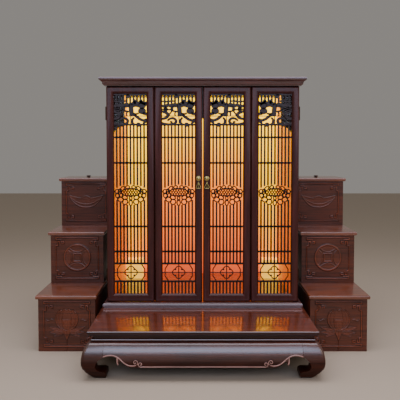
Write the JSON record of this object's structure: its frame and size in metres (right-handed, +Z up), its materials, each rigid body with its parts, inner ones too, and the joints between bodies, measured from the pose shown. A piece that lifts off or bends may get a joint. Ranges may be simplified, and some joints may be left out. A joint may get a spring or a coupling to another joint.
{
  "type": "household altar cabinet",
  "caption": "Household altar cabinet in dark carved wood with folding lattice doors and a lit interior, on a low scroll-footed platform between stepped box stands.",
  "frame": {"origin": "on the floor, under the middle of the platform", "axes": "+Z up, the doors and the free part of the platform face -Y, +X to the right as one faces the doors"},
  "size_m": [1.472, 1.0458, 1.209],
  "materials": {
    "rosewood": "satin lacquer on dark stained rosewood",
    "platform_wood": "satin lacquer on red-brown stained wood",
    "walnut": "satin lacquer on brown carved wood",
    "brass": "satin cast brass",
    "dark_bronze": "dark patinated hinges",
    "door_glass": "thin clear pane",
    "amber_panel": "luminous amber light panel",
    "frosted_glass": "frosted lamp shade"
  },
  "bodies": {
    "root": {"platform_top": "platform_wood", "cabinet_base": "rosewood", "cabinet_cornice": "rosewood", "cabinet_valance": "rosewood", "cabinet_back": "rosewood", "glow_panel": "amber_panel", "waist_front": "platform_wood", "apron_front": "platform_wood", "waist_back": "platform_wood", "apron_back": "platform_wood", "waist_left": "platform_wood", "apron_left": "platform_wood", "waist_right": "platform_wood", "apron_right": "platform_wood", "leg_back_right": "platform_wood", "leg_back_left": "platform_wood", "leg_front_left": "platform_wood", "leg_front_right": "platform_wood", "cabinet_side_left": "rosewood", "lamp_left": "frosted_glass", "hinge_outer_left_lower": "dark_bronze", "hinge_outer_left_upper": "dark_bronze", "stand_left_lower_box": "walnut", "stand_left_lower_board": "walnut", "stand_left_middle_box": "walnut", "stand_left_middle_board": "walnut", "stand_left_upper_box": "walnut", "stand_left_upper_board": "walnut", "stand_left_knob": "walnut", "cabinet_side_right": "rosewood", "lamp_right": "frosted_glass", "hinge_outer_right_lower": "dark_bronze", "hinge_outer_right_upper": "dark_bronze", "stand_right_lower_box": "walnut", "stand_right_lower_board": "walnut", "stand_right_middle_box": "walnut", "stand_right_middle_board": "walnut", "stand_right_upper_box": "walnut", "stand_right_upper_board": "walnut", "stand_right_knob": "walnut"},
    "left_outer_door": {"door_frame_left_outer": "rosewood", "door_lattice_left_outer": "rosewood", "door_glass_left_outer": "door_glass", "hinge_fold_left": "dark_bronze"},
    "left_inner_door": {"door_frame_left_inner": "rosewood", "door_lattice_left_inner": "rosewood", "door_glass_left_inner": "door_glass", "knob_left": "brass"},
    "left_pull": {"pull_left": "brass"},
    "right_outer_door": {"door_frame_right_outer": "rosewood", "door_lattice_right_outer": "rosewood", "door_glass_right_outer": "door_glass", "hinge_fold_right": "dark_bronze"},
    "right_inner_door": {"door_frame_right_inner": "rosewood", "door_lattice_right_inner": "rosewood", "door_glass_right_inner": "door_glass", "knob_right": "brass"},
    "right_pull": {"pull_right": "brass"}
  },
  "joints": [
    {"name": "left_door_swing", "type": "hinge", "parent": "root", "child": "left_outer_door", "pos_m": [-0.4285, -0.121, 0.691], "axis": [0, 0, -1], "range_deg": [0, 90]},
    {"name": "left_door_fold", "type": "hinge", "parent": "left_outer_door", "child": "left_inner_door", "pos_m": [-0.2135, -0.1175, 0.691], "axis": [0, 0, 1], "range_deg": [0, 180]},
    {"name": "left_pull_swing", "type": "hinge", "parent": "left_inner_door", "child": "left_pull", "pos_m": [-0.0185, -0.1477, 0.752], "axis": [-1, 0, 0], "range_deg": [0, 75]},
    {"name": "right_door_swing", "type": "hinge", "parent": "root", "child": "right_outer_door", "pos_m": [0.4285, -0.121, 0.691], "axis": [0, 0, 1], "range_deg": [0, 90]},
    {"name": "right_door_fold", "type": "hinge", "parent": "right_outer_door", "child": "right_inner_door", "pos_m": [0.2135, -0.1175, 0.691], "axis": [0, 0, -1], "range_deg": [0, 180]},
    {"name": "right_pull_swing", "type": "hinge", "parent": "right_inner_door", "child": "right_pull", "pos_m": [0.0185, -0.1477, 0.752], "axis": [-1, 0, 0], "range_deg": [0, 75]}
  ],
  "couplings": [
    {"joint": "left_door_fold", "follows": "left_door_swing", "ratio": 2},
    {"joint": "right_door_fold", "follows": "right_door_swing", "ratio": 2}
  ]
}
